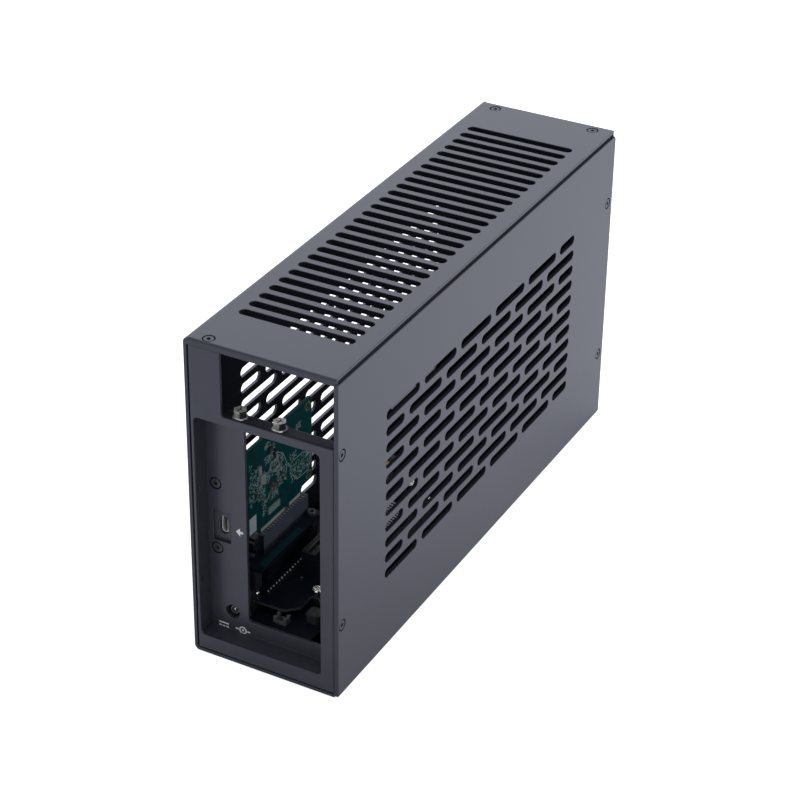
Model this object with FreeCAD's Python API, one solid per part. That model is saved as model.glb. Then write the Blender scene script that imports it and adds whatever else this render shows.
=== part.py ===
# External graphics card enclosure: a perforated shell, a flat perforated side
# panel, a front plate with a recessed connector panel and the boards behind it.
#
# While it is built, Y = 0 is the front face and runs back, and Z = 0 is the underside
# of the shell. At the end everything moves so that the origin is the middle of the
# footprint on the underside. X runs to the right seen from the front, Y to the back,
# Z up. A length whose name ends in _in is measured inwards from the left or right face.
import FreeCAD, Part
import math
import os

V = FreeCAD.Vector

# Whole enclosure
width = 78.0
depth = 292.5
height = 170.0

# Shell, one profile open on the right: a thick top over a thinner wall and floor
shell_top_sheet = 2.6
shell_sheet = 1.6
shell_bend = 2.6
shell_edge_gap = 0.7
shell_nose = 1.1
shell_corner_front = 1.0
shell_corner_back = 2.2
lip_height = 0.8
lip_length = 8.0

# Side panel
panel_sheet = 2.0
panel_lift = 0.4
panel_bevel = 0.45
panel_corner = 0.8
panel_corner_top = 2.2

# Front and back plates, the connector panel and the fit between the sheets
plate_sheet = 1.6
plate_bend = 1.2
plate_flange = 10.0
seam = 0.3
side_seam = 0.1
foot_seam = 0.1

# Cooling slots: one width for all, and the lengths of each pattern
slot_width = 5.2
top_slot_length = 59.0
top_slot_pitch = 8.68
top_slot_count = 27
top_slot_first = 32.0
wall_slot_long = 32.0
wall_slot_short = 17.4
wall_slot_gap = 4.7
wall_slot_per_row = 5
wall_row_count = 12
panel_row_count = 11
wall_row_pitch = 8.64
wall_row_top = 128.6
wall_slot_first = 44.0

# Case screws, countersunk and driven with a hexagon key
screw_radius = 1.5
screw_head_radius = 2.5
screw_head_sink = 0.15
screw_length = 2.8
screw_length_top = 4.4
screw_key = 2.0
screw_key_depth = 1.1
screw_play = 0.1
screw_seat_play = 0.3
screw_mouth_play = 0.55
screw_mouth_depth = 0.9
case_screw_front = 3.9
case_screw_back = 6.0
case_screw_in = 11.0
case_screw_low = 39.5
case_screw_high = 130.5

# Openings of the front plate
notch_left_in = 18.5
notch_bottom = 134.1
notch_corner = 1.5
recess_left_in = 3.8
recess_right_in = 9.1
recess_bottom = 10.0
recess_top = 130.0
recess_corner = 2.4
recess_depth = 10.0

# Connector panel
shelf_top = 131.5
bay_left_in = 24.2
bay_width = 40.2
bay_bottom = 17.8
bay_top = 126.0
bay_corner = 1.5
port_window_left_in = 6.1
port_window_width = 9.4
port_window_bottom = 58.9
port_window_height = 16.7
port_screw_x_in = 8.0
port_screw_low = 54.6
port_screw_high = 90.2

# Screws for the brackets of the fitted cards
bay_screw_x_in = 24.0
bay_screw_y = 7.6
bay_screw_pitch = 20.32
bay_screw_radius = 1.75
bay_flange_radius = 3.6
bay_flange_height = 0.9
bay_head_across = 5.6
bay_head_height = 3.4
bay_head_round = 3.1
bay_screw_length = 4.0
bay_cross_length = 3.8
bay_cross_width = 0.9
bay_cross_depth = 1.6

# Data port, upright on the controller card
port_x_in = 11.0
port_z = 67.2
port_length = 8.94
port_width = 3.26
port_wall = 0.35
port_depth = 8.0
port_sink = 1.1
port_play = 0.5
tongue_thickness = 0.7
tongue_length = 6.6

# Bracket that holds the controller card to the connector panel
bracket_sheet = 1.2
bracket_left_in = 2.4
bracket_right_in = 18.4
bracket_bottom = 49.5
bracket_top = 95.3
bracket_ear_low = 56.5
bracket_ear_high = 84.0
bracket_ear_length = 13.5
bracket_screw_inset = 4.0

# Power inlet
jack_x_in = 15.4
jack_z = 20.5
jack_width = 9.2
jack_rise = 5.3
jack_length = 12.4
jack_nose_radius = 3.65
jack_nose_sink = 0.9
jack_bore_radius = 3.3
jack_bore_depth = 9.5
jack_sleeve_radius = 2.15
jack_sleeve_wall = 0.4
jack_sleeve_sink = 1.9
jack_pin_radius = 0.7
jack_pin_sink = 2.2
jack_hole_play = 0.1

# Boards
board_sheet = 1.6
board_left_in = 5.0
power_board_top = 14.0
power_board_right_in = 53.7
power_board_front = 15.0
power_board_back = 152.0
slot_board_top = 18.7
slot_board_right_in = 40.2
slot_board_tab_in = 44.2
slot_board_tab_front = 41.5
slot_board_tab_back = 49.5
slot_board_front = 25.2
slot_board_back = 155.0
slot_board_chamfer = 6.0
riser_top = 32.0
riser_left_in = 4.6
riser_right_in = 18.6
riser_front = 31.0
riser_back = 89.0
board_hole_radius = 1.6

# Fixings on the boards: distance from the left face, then from the front face
stack_points_in = [(15.4, 28.9), (40.9, 45.4), (8.5, 149.0), (36.4, 149.0)]
low_points_in = [(8.0, 50.0), (50.0, 68.0), (50.0, 147.0)]
riser_points_in = [(7.4, 39.9), (15.3, 84.2)]
riser_rest_in = 13.2
riser_rest_y = 34.4

# Hexagon standoffs, spacers and pan-head screws of the boards
standoff_hex = 5.5
board_screw_radius = 1.5
board_head_radius = 2.8
board_head_height = 2.1
board_screw_length = 5.0

# Graphics card slot and its latch
slot_x_in = 29.0
slot_body_width = 7.6
slot_body_height = 11.2
slot_front = 57.0
slot_length = 85.0
slot_groove = 1.9
slot_groove_depth = 8.2
slot_end_wall = 1.5
slot_key_start = 12.5
slot_key_length = 2.0
ear_length = 7.0
ear_wall = 1.4
ear_height = 8.4
latch_pivot_back = 3.6
latch_pivot_up = 4.7
latch_pin_radius = 1.0
latch_pin_play = 0.08
latch_hub_radius = 2.3
latch_arm = 3.2
latch_side_play = 0.25
latch_height = 12.4
latch_hook = 4.0
latch_hook_height = 3.0
latch_thumb = 5.4
latch_thumb_height = 2.0

# Controller card and its socket
card_sheet = 1.6
card_front = 17.3
card_nose_front = 13.2
card_nose_margin = 4.0
card_back = 94.9
card_bottom = 44.8
card_bottom_back = 46.4
card_top = 92.9
card_corner = 1.2
card_screw_radius = 1.25
card_screw_inset = 3.5
card_screw_reach = 0.8
card_head_radius = 2.2
card_head_height = 1.6
card_hole_y = 91.5
card_hole_heights = (49.6, 88.7)
card_edge_front = 45.4
card_edge_back = 84.2
card_edge_bottom = 36.4
card_notch_front = 69.2
card_notch_width = 2.6
socket_front = 43.6
socket_length = 42.4
socket_width = 7.6
socket_height = 10.0
socket_groove_play = 0.17
socket_window_count = 18
finger_thickness = 0.08
finger_top = 43.8
finger_margin = 0.8

# Parts on the controller card: (front, back, bottom, top, how far they stand out)
card_chip_place = (52.6, 63.2, 48.3, 51.8, 0.7)
card_part_places = [(66.5, 68.2, 60.4, 62.1, 1.0), (59.0, 61.5, 77.4, 80.6, 1.2),
                    (54.0, 57.0, 82.5, 85.0, 1.2), (44.4, 46.5, 75.4, 79.8, 1.1),
                    (46.0, 50.6, 68.6, 73.9, 0.9)]
label_width = 6.2
label_height = 9.2
label_y = 36.0
label_z = 45.7
label_thickness = 0.1

# Parts on the lower boards
bridge_front = 42.0
bridge_back = 80.5
bridge_left_in = 10.8
bridge_right_in = 15.4
pin_row_x_in = 21.7
pin_row_first = 31.9
pin_row_pitch = 2.54
pin_row_count = 13
pin_side = 0.64
pin_base_height = 0.9
pin_height = 2.4
sink_left_in = 42.0
sink_right_in = 51.6
sink_front = 78.0
sink_length = 39.0
sink_height = 15.5
sink_base = 3.0
fin_thickness = 0.8
fin_pitch = 2.1
coil_x_in = 48.0
coil_first = 31.0
coil_pitch = 12.0
coil_count = 3
coil_side = 7.2
coil_height = 4.6
clip_left_in = 31.7
clip_right_in = 38.5
clip_front = 19.6
clip_back = 24.4
clip_height = 3.6
clip_end = 1.5
clip_base = 1.4

# Lines that several pieces share
left = -width / 2
right = width / 2
shell_right = right - shell_edge_gap
shell_under = height - shell_top_sheet
panel_in = right - panel_sheet
panel_top = shell_under - 0.1
floor_right = panel_in - side_seam
plate_left = left + shell_sheet + seam
plate_right = panel_in - side_seam
plate_bottom = shell_sheet + foot_seam
lip_bottom = shell_under - lip_height
plate_top = lip_bottom - side_seam
io_front = recess_depth
io_back = recess_depth + plate_sheet
screw_back_y = depth - case_screw_back
bracket_front = io_back + 0.05
power_board_bottom = power_board_top - board_sheet
slot_board_bottom = slot_board_top - board_sheet
riser_bottom = riser_top - board_sheet
jack_back = io_back + 0.2 + jack_length
pivot_y = slot_front + slot_length + latch_pivot_back
pivot_z = slot_board_top + latch_pivot_up

# Places across the width, from the distances to the left and right faces
case_screw_x = right - case_screw_in
recess_right = right - recess_right_in
notch_left = left + notch_left_in
recess_left = left + recess_left_in
bay_left = left + bay_left_in
port_window_left = left + port_window_left_in
port_screw_x = left + port_screw_x_in
bay_screw_x = left + bay_screw_x_in
port_x = left + port_x_in
bracket_left = left + bracket_left_in
bracket_right = left + bracket_right_in
jack_x = left + jack_x_in
board_left = left + board_left_in
power_board_right = left + power_board_right_in
slot_board_right = left + slot_board_right_in
slot_board_tab = left + slot_board_tab_in
riser_left = left + riser_left_in
riser_right = left + riser_right_in
slot_x = left + slot_x_in
bridge_left = left + bridge_left_in
bridge_right = left + bridge_right_in
pin_row_x = left + pin_row_x_in
sink_left = left + sink_left_in
sink_right = left + sink_right_in
coil_x = left + coil_x_in
clip_left = left + clip_left_in
clip_right = left + clip_right_in
card_right = port_x - port_width / 2
card_left = card_right - card_sheet

# Fixings on the boards: (x, y)
stack_points = [(left + x, y) for x, y in stack_points_in]
low_points = [(left + x, y) for x, y in low_points_in]
riser_points = [(left + x, y) for x, y in riser_points_in]
riser_rest = (left + riser_rest_in, riser_rest_y)
wall_screw_points = [(case_screw_front, case_screw_low), (case_screw_front, case_screw_high),
                     (screw_back_y, case_screw_low), (screw_back_y, case_screw_high)]
top_screw_points = [(-case_screw_x, case_screw_front), (-case_screw_x, screw_back_y),
                    (case_screw_x, screw_back_y)]
bottom_screw_points = [(-case_screw_x, case_screw_front), (case_screw_x, case_screw_front),
                       (-case_screw_x, screw_back_y), (case_screw_x, screw_back_y)]


def box(x0, x1, y0, y1, z0, z1):
    return Part.makeBox(x1 - x0, y1 - y0, z1 - z0, V(x0, y0, z0))


def rod(radius, start, end):
    start = V(*start)
    run = V(*end) - start
    return Part.makeCylinder(radius, run.Length, start, run)


def prism(points, run):
    wire = Part.makePolygon([V(*p) for p in points] + [V(*points[0])])
    return Part.Face(wire).extrude(V(*run))


def hexagon(x, y, z0, z1, across):
    r = across / math.sqrt(3)
    ring = []
    for k in range(6):
        a = math.radians(60 * k)
        ring.append((x + r * math.cos(a), y + r * math.sin(a), z0))
    return prism(ring, (0, 0, z1 - z0))


def stadium(length, wide, deep):
    """A slot shape along Y with round ends, centred, standing on Z = 0."""
    r = wide / 2
    a = length / 2 - r
    edges = [Part.LineSegment(V(-r, -a, 0), V(-r, a, 0)).toShape(),
             Part.Arc(V(-r, a, 0), V(0, a + r, 0), V(r, a, 0)).toShape(),
             Part.LineSegment(V(r, a, 0), V(r, -a, 0)).toShape(),
             Part.Arc(V(r, -a, 0), V(0, -a - r, 0), V(-r, -a, 0)).toShape()]
    return Part.Face(Part.Wire(edges)).extrude(V(0, 0, deep))


def rounded_window(x0, x1, z0, z1, r, y0, y1):
    """A rectangular cutter with round corners, running along Y."""
    block = box(x0, x1, y0, y1, z0, z1)
    edges = [e for e in block.Edges if abs(e.BoundBox.YLength - (y1 - y0)) < 1e-6]
    return block.makeFillet(r, edges)


def placed(shape, axis, angle, where):
    copy = shape.copy()
    copy.rotate(V(0, 0, 0), V(*axis), angle)
    copy.translate(V(*where))
    return copy


def aimed(shape, inward, where):
    """Turns a shape made along -Z so that it runs along inward."""
    turn = FreeCAD.Rotation(V(0, 0, -1), V(*inward))
    copy = shape.copy()
    copy.Placement = FreeCAD.Placement(V(*where), turn)
    return copy


def moved(shape):
    shape.translate(V(0, -depth / 2, 0))
    return shape


# Countersunk case screws and the holes for them

def case_screw(length=screw_length):
    """One screw along -Z, with Z = 0 at the surface of the sheet it sits in."""
    cone = screw_head_radius - screw_radius
    top = -screw_head_sink
    head = Part.makeCone(screw_radius, screw_head_radius, cone, V(0, 0, top - cone))
    shank = rod(screw_radius, (0, 0, top - cone), (0, 0, top - length))
    key = hexagon(0, 0, top - screw_key_depth, top + 1, screw_key)
    return head.fuse(shank).cut(key)


def screw_seat(sheet):
    """Cutter for one countersunk hole along -Z through a sheet."""
    rim = screw_head_radius + screw_seat_play
    hole = screw_radius + screw_play
    deep = rim - hole
    cone = Part.makeCone(hole, rim, deep, V(0, 0, -deep))
    mouth = rod(screw_head_radius + screw_mouth_play, (0, 0, 1), (0, 0, -screw_mouth_depth))
    return cone.fuse([mouth, rod(hole, (0, 0, 1), (0, 0, -sheet - 1))])


def screw_thread(reach):
    """Cutter for the hole that takes the screw in the flange behind the sheet."""
    return rod(screw_radius + screw_play / 2, (0, 0, 1), (0, 0, -reach))


def top_places(z):
    return [((0, 0, -1), (x, y, z)) for x, y in top_screw_points]


def bottom_places(z):
    return [((0, 0, 1), (x, y, z)) for x, y in bottom_screw_points]


def left_places(x):
    return [((1, 0, 0), (x, y, z)) for y, z in wall_screw_points]


def right_places(x):
    return [((-1, 0, 0), (x, y, z)) for y, z in wall_screw_points]


def at_places(shape, places):
    return [aimed(shape, way, where) for way, where in places]


# Cooling slots

def top_slots():
    cutter = stadium(top_slot_length, slot_width, shell_top_sheet + 2)
    cutter.rotate(V(0, 0, 0), V(0, 0, 1), 90)
    cuts = []
    for k in range(top_slot_count):
        slot = cutter.copy()
        slot.translate(V(0, top_slot_first + k * top_slot_pitch, shell_under - 1))
        cuts.append(slot)
    return cuts


def wall_slots(x0, x1, rows, last_as_before=False):
    """Brick pattern on a side wall: each row is five long slots and one short one,
    and the short one changes ends from row to row. The lowest row can begin like
    the one above it."""
    long_cut = stadium(wall_slot_long, slot_width, x1 - x0)
    short_cut = stadium(wall_slot_short, slot_width, x1 - x0)
    for cutter in (long_cut, short_cut):
        cutter.rotate(V(0, 0, 0), V(0, 1, 0), 90)
    cuts = []
    for row in range(rows):
        lengths = [wall_slot_long] * wall_slot_per_row
        if row % 2 and not (last_as_before and row == rows - 1):
            lengths.insert(0, wall_slot_short)
        else:
            lengths.append(wall_slot_short)
        y = wall_slot_first
        z = wall_row_top - row * wall_row_pitch
        for length in lengths:
            slot = (short_cut if length == wall_slot_short else long_cut).copy()
            slot.translate(V(x0, y + length / 2, z))
            cuts.append(slot)
            y += length + wall_slot_gap
    return cuts


# Sheet metal

def shell_profile():
    """The shell seen from the front, as a face at Y = 0."""
    t = shell_sheet
    r = shell_bend
    q = r - t
    h = math.sqrt(0.5)

    def line(x0, z0, x1, z1):
        return Part.LineSegment(V(x0, 0, z0), V(x1, 0, z1)).toShape()

    def arc(cx, cz, radius, sx, sz):
        return Part.Arc(V(cx, 0, cz + sz * radius), V(cx + sx * h * radius, 0, cz + sz * h * radius),
                        V(cx + sx * radius, 0, cz)).toShape()

    cx = left + r
    inner = left + t
    edges = [line(floor_right, 0, cx, 0), arc(cx, r, r, -1, -1), line(left, r, left, height - r),
             arc(cx, height - r, r, -1, 1), line(cx, height, shell_right, height),
             line(shell_right, height, shell_right, shell_under),
             line(shell_right, shell_under, inner, shell_under),
             line(inner, shell_under, inner, r), arc(cx, r, q, -1, -1),
             line(cx, t, floor_right, t), line(floor_right, t, floor_right, 0)]
    return Part.Face(Part.Wire(Part.__sortEdges__(edges)))


def nose_cut(y0, way):
    """What rounds the upper front or back edge of the top off."""
    r = shell_nose
    x0 = left + shell_bend
    ends = sorted([y0 - way, y0 + way * r])
    corner = box(x0, right, ends[0], ends[1], height - r, height + 1)
    return corner.cut(rod(r, (x0 - 1, y0 + way * r, height - r), (right + 1, y0 + way * r, height - r)))


def plan_corner_cut(y0, way, r):
    """What rounds the right corner of the top off, seen from above."""
    ends = sorted([y0 - way, y0 + way * r])
    corner = box(shell_right - r, right + 1, ends[0], ends[1], shell_under - 1, height + 1)
    x = shell_right - r
    y = y0 + way * r
    return corner.cut(rod(r, (x, y, shell_under - 2), (x, y, height + 2)))


def lip(y0, way):
    """The strip under the front or back edge of the top that meets the plate."""
    ends = sorted([y0, y0 + way * lip_length])
    return box(left + shell_sheet / 2, floor_right, ends[0], ends[1], lip_bottom, shell_under + 0.5)


def shell():
    body = shell_profile().extrude(V(0, depth, 0))
    body = body.fuse([lip(0, 1), lip(depth, -1)]).removeSplitter()
    cuts = [nose_cut(0, 1), nose_cut(depth, -1)]
    cuts += [plan_corner_cut(0, 1, shell_corner_front), plan_corner_cut(depth, -1, shell_corner_back)]
    cuts += top_slots() + wall_slots(left - 1, left + shell_sheet + 1, wall_row_count, True)
    cuts += at_places(screw_seat(shell_top_sheet + lip_height), top_places(height))
    cuts += at_places(screw_seat(shell_sheet), bottom_places(0) + left_places(left))
    return body.cut(cuts)


def side_panel():
    sheet = box(panel_in, right, 0, depth, panel_lift, panel_top)
    corners = [e for e in sheet.Edges if abs(e.BoundBox.XLength - panel_sheet) < 1e-6]
    top_back = [e for e in corners if e.BoundBox.YMin > 1 and e.BoundBox.ZMin > height / 2]
    sheet = sheet.makeFillet(panel_corner_top, top_back)
    others = []
    for e in sheet.Edges:
        b = e.BoundBox
        across = abs(b.XLength - panel_sheet) < 1e-6 and b.YLength < 1e-6
        if across and not (b.YMin > 1 and b.ZMin > height / 2):
            others.append(e)
    sheet = sheet.makeFillet(panel_corner, others)
    rim = [e for e in sheet.Edges if e.BoundBox.XLength < 1e-6 and e.BoundBox.XMin > right - 1e-3]
    sheet = sheet.makeChamfer(panel_bevel, rim)
    cuts = wall_slots(panel_in - 1, right + 1, panel_row_count)
    cuts += at_places(screw_seat(panel_sheet), right_places(right))
    return sheet.cut(cuts)


def plate_pan(y0, way, z_right):
    """A plate with flanges on its left, right and lower edges, bent away from its
    face. way is 1 for flanges that run back and -1 for flanges that run forward."""
    t = plate_sheet
    face_y = sorted([y0, y0 + way * t])
    reach = sorted([y0, y0 + way * plate_flange])
    outer = box(plate_left, plate_right, reach[0], reach[1], plate_bottom, plate_top)
    face_edges = []
    for e in outer.Edges:
        b = e.BoundBox
        on_face = abs(b.YMin - y0) < 1e-6 and abs(b.YMax - y0) < 1e-6
        if on_face and (b.ZLength > 1 or b.ZMax < plate_top - 1):
            face_edges.append(e)
    outer = outer.makeFillet(plate_bend, face_edges)
    hollow_y = sorted([y0 + way * t, y0 + way * (plate_flange + 1)])
    hollow = box(plate_left + t, plate_right - t, hollow_y[0], hollow_y[1], plate_bottom + t, plate_top + 1)
    pan = outer.cut(hollow)
    relief = t + plate_bend
    reliefs = []
    for x0, x1 in ((plate_left - 1, plate_left + relief), (plate_right - relief, plate_right + 1)):
        gap_y = sorted([y0 + way * relief, y0 + way * (plate_flange + 1)])
        reliefs.append(box(x0, x1, gap_y[0], gap_y[1], plate_bottom - 1, plate_bottom + relief))
    pan = pan.cut(reliefs + [bend_relief(reach[0], reach[1])])
    if z_right < plate_top:
        over_y = sorted([y0 - way, y0 + way * (plate_flange + 1)])
        pan = pan.cut(box(notch_left, plate_right + 1, over_y[0], over_y[1], z_right, plate_top + 1))
    return pan


def bend_relief(y0, y1):
    """What the lower left bend of the shell takes away from a square corner."""
    q = shell_bend - shell_sheet
    corner = box(left, left + shell_bend, y0 - 1, y1 + 1, 0, shell_bend)
    x = left + shell_bend
    return corner.cut(rod(q - side_seam, (x, y0 - 2, shell_bend), (x, y1 + 2, shell_bend)))


def top_flange(x0, x1, y0, way):
    ends = sorted([y0, y0 + way * plate_flange])
    return box(x0, x1, ends[0], ends[1], plate_top - plate_sheet, plate_top)


def screw_ways():
    """Clear ways for the side screws past a flange that they do not hold."""
    way = rod(screw_radius + seam, (0, 0, 1), (0, 0, -screw_length - 3))
    return at_places(way, left_places(left)) + at_places(way, right_places(right))


def thread_cuts():
    """Holes in the flanges for the case screws, from all four sides."""
    deep = screw_length + 3
    cuts = at_places(screw_thread(screw_length_top + 3), top_places(height))
    cuts += at_places(screw_thread(deep), bottom_places(0))
    cuts += at_places(screw_thread(deep), left_places(left))
    cuts += at_places(screw_thread(deep), right_places(right))
    return cuts


def front_plate():
    t = plate_sheet
    plate = plate_pan(0, 1, notch_bottom)
    flange_right = notch_left - 1.5
    plate = plate.fuse(top_flange(plate_left + t, flange_right, 0, 1)).removeSplitter()
    plate = plate.fuse(corner_web(notch_left, notch_bottom, notch_corner, t))
    window = rounded_window(recess_left, recess_right, recess_bottom, recess_top, recess_corner,
                            -1, t + 0.01)
    return plate.cut([window] + thread_cuts()).removeSplitter()


def corner_web(x, z, r, t):
    """The concave round corner at the lower left of the notch."""
    web = box(x - 0.5, x + r, 0, t, z - 0.5, z + r)
    return web.cut(rod(r, (x + r, -1, z + r), (x + r, t + 1, z + r)))


def back_plate():
    plate = plate_pan(depth, -1, plate_top)
    flange = top_flange(plate_left + plate_sheet, plate_right - plate_sheet, depth, -1)
    return plate.fuse(flange).cut(thread_cuts()).removeSplitter()


def io_panel():
    """The recessed connector panel, with a shelf bent forward at its top that the
    card brackets are screwed to, and a sill bent forward at its foot."""
    t = plate_sheet
    x0 = plate_left
    x1 = plate_right
    z0 = recess_bottom - side_seam - t
    face = box(x0, x1, io_front, io_back, z0, shelf_top)
    inset = t + 0.15
    lips = box(x0 + inset, x1 - inset, t, io_back, z0, shelf_top)
    lips = lips.cut(box(x0, x1, t - 1, io_front, z0 + t, shelf_top - t))
    panel = face.fuse(lips).removeSplitter()
    outer = []
    for e in panel.Edges:
        b = e.BoundBox
        if b.XLength > width / 2 and abs(b.YMin - io_back) < 1e-6 and b.ZLength < 1e-6:
            outer.append(e)
    panel = panel.makeFillet(plate_bend, outer)
    window = rounded_window(bay_left, bay_left + bay_width, bay_bottom, bay_top, bay_corner,
                            io_front - 0.01, io_back + 1)
    port = box(port_window_left, port_window_left + port_window_width, io_front - 0.01, io_back + 1,
               port_window_bottom, port_window_bottom + port_window_height)
    jack = rod(jack_nose_radius + jack_hole_play, (jack_x, io_front - 1, jack_z),
               (jack_x, io_back + 1, jack_z))
    cuts = [window, port, jack]
    for z in (port_screw_low, port_screw_high):
        cuts.append(aimed(screw_seat(t), (0, 1, 0), (port_screw_x, io_front, z)))
    for k in range(2):
        x = bay_screw_x + k * bay_screw_pitch
        y = bay_screw_y
        hole = bay_screw_radius + screw_play / 2
        cuts.append(rod(hole, (x, y, shelf_top - t - 1), (x, y, shelf_top + 1)))
    return panel.cut(cuts + screw_ways())


def port_bracket():
    """The bent bracket behind the connector panel that carries the controller card."""
    t = bracket_sheet
    y = bracket_front
    face = box(bracket_left, bracket_right, y, y + t, bracket_bottom, bracket_top)
    ear_x = card_left - side_seam
    ear = box(ear_x - t, ear_x, y, y + bracket_ear_length, bracket_ear_low, bracket_ear_high)
    port = stadium(port_length + 2 * port_play, port_width + 2 * port_play, 4 * t)
    port = placed(port, (1, 0, 0), 90, (port_x, bracket_front + 2 * t, port_z))
    cuts = [port]
    for z in (port_screw_low, port_screw_high):
        cuts.append(rod(screw_radius + screw_play / 2, (port_screw_x, y - 1, z), (port_screw_x, y + 3, z)))
    for z in card_screw_heights():
        back = card_screw_y()
        cuts.append(rod(card_screw_radius + screw_play / 2, (ear_x - 2, back, z), (ear_x + 1, back, z)))
    return face.fuse(ear).cut(cuts).removeSplitter()


# Fasteners

def top_screws():
    return at_places(case_screw(screw_length_top), top_places(height))


def bottom_screws():
    return at_places(case_screw(), bottom_places(0))


def left_screws():
    return at_places(case_screw(), left_places(left))


def panel_screws():
    return at_places(case_screw(), right_places(right))


def port_screws():
    group = []
    for z in (port_screw_low, port_screw_high):
        group.append(aimed(case_screw(), (0, 1, 0), (port_screw_x, io_front, z)))
    return group


def bay_screws():
    """Two hexagon screws with a washer face and a cross recess, on the shelf."""
    group = []
    for k in range(2):
        x = bay_screw_x + k * bay_screw_pitch
        y = bay_screw_y
        z = shelf_top
        top = z + bay_flange_height + bay_head_height
        flange = rod(bay_flange_radius, (x, y, z), (x, y, z + bay_flange_height))
        rim = [e for e in flange.Edges if e.BoundBox.ZMin > z + bay_flange_height - 1e-3]
        flange = flange.makeChamfer(0.4, rim)
        head = hexagon(x, y, z, top, bay_head_across)
        head = head.common(rod(bay_head_round, (x, y, z), (x, y, top)))
        shank = rod(bay_screw_radius, (x, y, z - bay_screw_length), (x, y, z + 0.1))
        a = bay_cross_length / 2
        b = bay_cross_width / 2
        cross = [box(x - a, x + a, y - b, y + b, top - bay_cross_depth, top + 1),
                 box(x - b, x + b, y - a, y + a, top - bay_cross_depth, top + 1)]
        group.append(flange.fuse([head, shank]).cut(cross))
    return group


def pan_screw(x, y, z, length):
    head = rod(board_head_radius, (x, y, z), (x, y, z + board_head_height))
    rim = [e for e in head.Edges if e.BoundBox.ZMin > z + board_head_height / 2]
    head = head.makeChamfer(0.5, [e for e in rim if e.BoundBox.ZLength < 1e-6])
    shank = rod(board_screw_radius, (x, y, z - length), (x, y, z + 0.1))
    key = hexagon(x, y, z + board_head_height - 1.1, z + board_head_height + 1, screw_key)
    return head.fuse(shank).cut(key)


def low_board_screws():
    return [pan_screw(x, y, power_board_top, board_screw_length) for x, y in low_points]


def slot_board_screws():
    length = slot_board_top - power_board_bottom + board_screw_length
    return [pan_screw(x, y, slot_board_top, length) for x, y in stack_points]


def riser_screws():
    return [pan_screw(x, y, riser_top, board_screw_length) for x, y in riser_points]


def standoff(x, y, z0, z1, bore_top):
    post = hexagon(x, y, z0, z1, standoff_hex)
    return post.cut(rod(board_screw_radius + screw_play / 2, (x, y, bore_top), (x, y, z1 + 1)))


def board_standoffs():
    bore_low = power_board_bottom - board_screw_length
    points = low_points + stack_points
    return [standoff(x, y, shell_sheet, power_board_bottom, bore_low) for x, y in points]


def board_spacers():
    return [standoff(x, y, power_board_top, slot_board_bottom, power_board_top - 1) for x, y in stack_points]


def riser_standoffs():
    bore_low = riser_bottom - board_screw_length
    posts = [standoff(x, y, slot_board_top, riser_bottom, bore_low) for x, y in riser_points]
    return posts + [hexagon(riser_rest[0], riser_rest[1], slot_board_top, riser_bottom, standoff_hex)]


# Boards

def drilled(board, points, z0, z1):
    return board.cut([rod(board_hole_radius, (x, y, z0 - 1), (x, y, z1 + 1)) for x, y in points])


def power_board():
    board = box(board_left, power_board_right, power_board_front, power_board_back,
                power_board_bottom, power_board_top)
    return drilled(board, low_points + stack_points, power_board_bottom, power_board_top)


def slot_board():
    c = slot_board_chamfer
    x0 = board_left
    x1 = slot_board_right
    y0 = slot_board_front
    y1 = slot_board_back
    z = slot_board_bottom
    tab = slot_board_tab
    ya = slot_board_tab_front
    yb = slot_board_tab_back
    outline = [(x0, y0, z), (x1 - c, y0, z), (x1, y0 + c, z), (x1, ya, z), (tab, ya, z), (tab, yb, z),
               (x1, yb, z), (x1, y1, z), (x0, y1, z)]
    board = prism(outline, (0, 0, board_sheet))
    return drilled(board, stack_points, z, slot_board_top)


def riser_board():
    board = box(riser_left, riser_right, riser_front, riser_back, riser_bottom, riser_top)
    return drilled(board, riser_points, riser_bottom, riser_top)


def controller_card():
    """The upright green card, with an edge that stands in the socket."""
    card = box(card_left, card_right, card_front, card_back, card_bottom, card_top)
    across = [e for e in card.Edges if e.BoundBox.XLength > card_sheet - 1e-6]
    card = card.makeFillet(card_corner, [e for e in across if e.BoundBox.ZMin > card_top - 1e-3])
    edge = box(card_left, card_right, card_edge_front, card_edge_back, card_edge_bottom, card_bottom + 0.5)
    reach = port_length / 2 + card_nose_margin
    nose = box(card_left, card_right, card_nose_front, card_front + 0.5, port_z - reach, port_z + reach)
    notch = box(card_left - 1, card_right + 1, card_notch_front, card_notch_front + card_notch_width,
                card_edge_bottom - 1, card_bottom)
    x0 = card_left - 1
    x1 = card_right + 1
    cuts = [notch]
    for z in card_screw_heights():
        y = card_screw_y()
        cuts.append(rod(card_screw_radius + screw_play, (x0, y, z), (x1, y, z)))
    for z in card_hole_heights:
        cuts.append(rod(board_hole_radius, (x0, card_hole_y, z), (x1, card_hole_y, z)))
    low = card_bottom - 0.1
    slope_end = card_edge_back + card_bottom_back - card_bottom
    step = [(x0, card_edge_back, low), (x0, card_edge_back, card_bottom), (x0, slope_end, card_bottom_back),
            (x0, card_back + 1, card_bottom_back), (x0, card_back + 1, low)]
    cuts.append(prism(step, (x1 - x0, 0, 0)))
    return card.fuse([edge, nose]).removeSplitter().cut(cuts)


def card_screw_y():
    return bracket_front + bracket_ear_length - bracket_screw_inset


def card_screw_heights():
    return (bracket_ear_low + card_screw_inset, bracket_ear_high - card_screw_inset)


def card_screws():
    """Small screws through the card into the ear of its bracket."""
    group = []
    for z in card_screw_heights():
        y = card_screw_y()
        head_end = card_right + card_head_height
        head = rod(card_head_radius, (card_right, y, z), (head_end, y, z))
        shank_end = card_left - side_seam - bracket_sheet - card_screw_reach
        shank = rod(card_screw_radius, (shank_end, y, z), (card_right + 0.1, y, z))
        key = box(head_end - 0.8, head_end + 1, y - 1.3, y + 1.3, z - 0.3, z + 0.3)
        group.append(head.fuse(shank).cut(key))
    return group


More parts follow.
